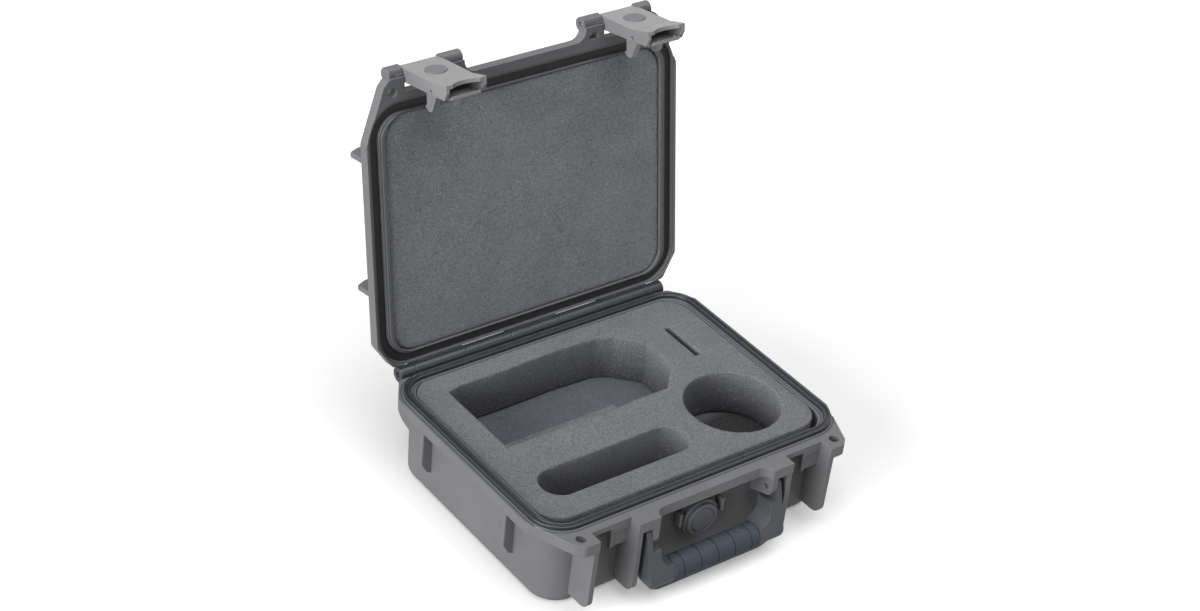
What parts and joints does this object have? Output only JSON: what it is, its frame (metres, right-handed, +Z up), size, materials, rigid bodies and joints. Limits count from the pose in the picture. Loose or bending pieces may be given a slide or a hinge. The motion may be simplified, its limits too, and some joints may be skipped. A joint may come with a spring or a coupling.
{
  "type": "audio recorder case",
  "caption": "Closed-box moulded carrying case with a hinged lid, trigger latches, fold-down handle and cut foam for a hand-held audio recorder.",
  "frame": {"origin": "centre of the flat underside of the base", "axes": "+X right, -Y front where the handle and latches are, +Y the hinge side, +Z up; the lid stands open on its stop"},
  "size_m": [0.2692, 0.2956, 0.309],
  "materials": {
    "shell": "fine moulded texture",
    "latch": "satin",
    "disc": "satin",
    "handle": "satin",
    "grip": "soft satin",
    "seal": "satin",
    "foam": "open-cell foam",
    "foam_floor": "open-cell foam",
    "valve": "satin",
    "membrane": "matte",
    "steel": "plain"
  },
  "bodies": {
    "base": {"base_shell": "shell", "hinge_pin": "steel", "base_foam": "foam", "foam_floor": "foam_floor", "pocket_riser": "foam_floor", "valve_body": "valve", "valve_membrane": "membrane", "valve_oring": "seal", "valve_cap": "valve", "valve_nut": "valve", "handle_pins": "steel"},
    "lid": {"lid_shell": "shell", "lid_gasket": "seal", "lid_foam": "foam", "latch_pins": "steel"},
    "latch_left": {"latch_left": "latch", "latch_disc_left": "disc", "trigger_pin_left": "steel", "trigger_spring_left": "steel"},
    "latch_right": {"latch_right": "latch", "latch_disc_right": "disc", "trigger_pin_right": "steel", "trigger_spring_right": "steel"},
    "trigger_left": {"trigger_left": "latch"},
    "trigger_right": {"trigger_right": "latch"},
    "handle": {"handle_frame": "handle", "handle_grip": "grip"}
  },
  "joints": [
    {"name": "lid_hinge", "type": "hinge", "parent": "base", "child": "lid", "pos_m": [0, 0.1065, 0.07115], "axis": [1, 0, 0], "range_deg": [0, 100]},
    {"name": "latch_left_pivot", "type": "hinge", "parent": "lid", "child": "latch_left", "pos_m": [-0.0852, 0.15301, 0.29203], "axis": [-1, 0, 0], "range_deg": [0, 85]},
    {"name": "latch_right_pivot", "type": "hinge", "parent": "lid", "child": "latch_right", "pos_m": [0.0852, 0.15301, 0.29203], "axis": [-1, 0, 0], "range_deg": [0, 85]},
    {"name": "trigger_left_press", "type": "hinge", "parent": "latch_left", "child": "trigger_left", "pos_m": [-0.0852, 0.11349, 0.29595], "axis": [-1, 0, 0], "range_deg": [0, 14], "stiffness_Nm_per_rad": 0.06, "springref_deg": -11.46},
    {"name": "trigger_right_press", "type": "hinge", "parent": "latch_right", "child": "trigger_right", "pos_m": [0.0852, 0.11349, 0.29595], "axis": [-1, 0, 0], "range_deg": [0, 14], "stiffness_Nm_per_rad": 0.06, "springref_deg": -11.46},
    {"name": "handle_hinge", "type": "hinge", "parent": "base", "child": "handle", "pos_m": [0, -0.1098, 0.0534], "axis": [-1, 0, 0], "range_deg": [0, 85]}
  ]
}
